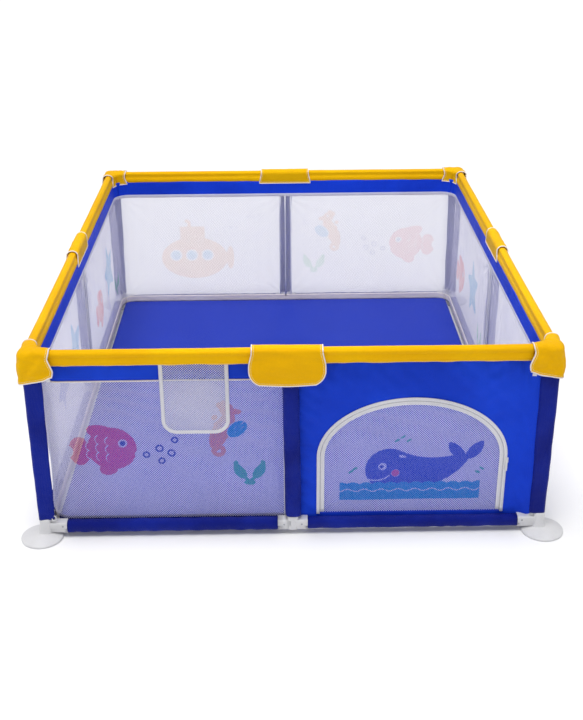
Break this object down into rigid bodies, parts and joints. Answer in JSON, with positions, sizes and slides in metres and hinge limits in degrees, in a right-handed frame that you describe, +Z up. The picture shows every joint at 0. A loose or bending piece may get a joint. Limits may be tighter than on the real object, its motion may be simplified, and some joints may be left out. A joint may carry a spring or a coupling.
{
  "type": "playpen",
  "caption": "Rectangular open-top fabric play fence for small children, with mesh walls, an arched zip-open door, padded rails, suction feet and a padded floor mat.",
  "frame": {"origin": "centre of the bounding box footprint, on the floor", "axes": "+Z up, -Y is the front wall with the door, +X is to the right seen from the front"},
  "size_m": [1.619, 1.919, 0.616],
  "materials": {
    "white_plastic": "smooth white moulding",
    "steel_tube": "grey coated thin-wall tube",
    "wall_fabric": "woven blue fabric with white mesh",
    "yellow_fabric": "woven yellow fabric with white piping",
    "mat_fabric": "satin woven blue fabric over foam",
    "mesh_fabric": "open white mesh with white binding"
  },
  "bodies": {
    "frame": {"foot_front_left": "white_plastic", "base_corner_front_left": "white_plastic", "top_corner_front_left": "white_plastic", "post_front_left": "steel_tube", "corner_cap_front_left": "yellow_fabric", "foot_front_right": "white_plastic", "base_corner_front_right": "white_plastic", "top_corner_front_right": "white_plastic", "post_front_right": "steel_tube", "corner_cap_front_right": "yellow_fabric", "foot_back_right": "white_plastic", "base_corner_back_right": "white_plastic", "top_corner_back_right": "white_plastic", "post_back_right": "steel_tube", "corner_cap_back_right": "yellow_fabric", "foot_back_left": "white_plastic", "base_corner_back_left": "white_plastic", "top_corner_back_left": "white_plastic", "post_back_left": "steel_tube", "corner_cap_back_left": "yellow_fabric", "base_tee_front": "white_plastic", "top_tee_front": "white_plastic", "post_front": "steel_tube", "top_tube_front_a": "steel_tube", "base_tube_front_a": "steel_tube", "top_tube_front_b": "steel_tube", "base_tube_front_b": "steel_tube", "wall_front": "wall_fabric", "rail_cover_front": "yellow_fabric", "base_tee_right": "white_plastic", "top_tee_right": "white_plastic", "post_right": "steel_tube", "top_tube_right_a": "steel_tube", "base_tube_right_a": "steel_tube", "top_tube_right_b": "steel_tube", "base_tube_right_b": "steel_tube", "wall_right": "wall_fabric", "rail_cover_right": "yellow_fabric", "base_tee_back": "white_plastic", "top_tee_back": "white_plastic", "post_back": "steel_tube", "top_tube_back_a": "steel_tube", "base_tube_back_a": "steel_tube", "top_tube_back_b": "steel_tube", "base_tube_back_b": "steel_tube", "wall_back": "wall_fabric", "rail_cover_back": "yellow_fabric", "base_tee_left": "white_plastic", "top_tee_left": "white_plastic", "post_left": "steel_tube", "top_tube_left_a": "steel_tube", "base_tube_left_a": "steel_tube", "top_tube_left_b": "steel_tube", "base_tube_left_b": "steel_tube", "wall_left": "wall_fabric", "rail_cover_left": "yellow_fabric", "storage_pocket": "mesh_fabric"},
    "door": {"door_flap": "mesh_fabric"},
    "zip": {"zip_slider": "white_plastic"},
    "mat": {"floor_mat": "mat_fabric"}
  },
  "joints": [
    {"name": "door_open", "type": "hinge", "parent": "frame", "child": "door", "pos_m": [0.35, -0.8695, 0.058], "axis": [1, 0, 0], "range_deg": [0, 98]},
    {"name": "zip_slide", "type": "slide", "parent": "frame", "child": "zip", "axis": [0, 0, 1], "range_m": [-0.13, 0]},
    {"name": "mat_lift", "type": "slide", "parent": "frame", "child": "mat", "axis": [0, 0, 1], "range_m": [0, 0.7]}
  ]
}
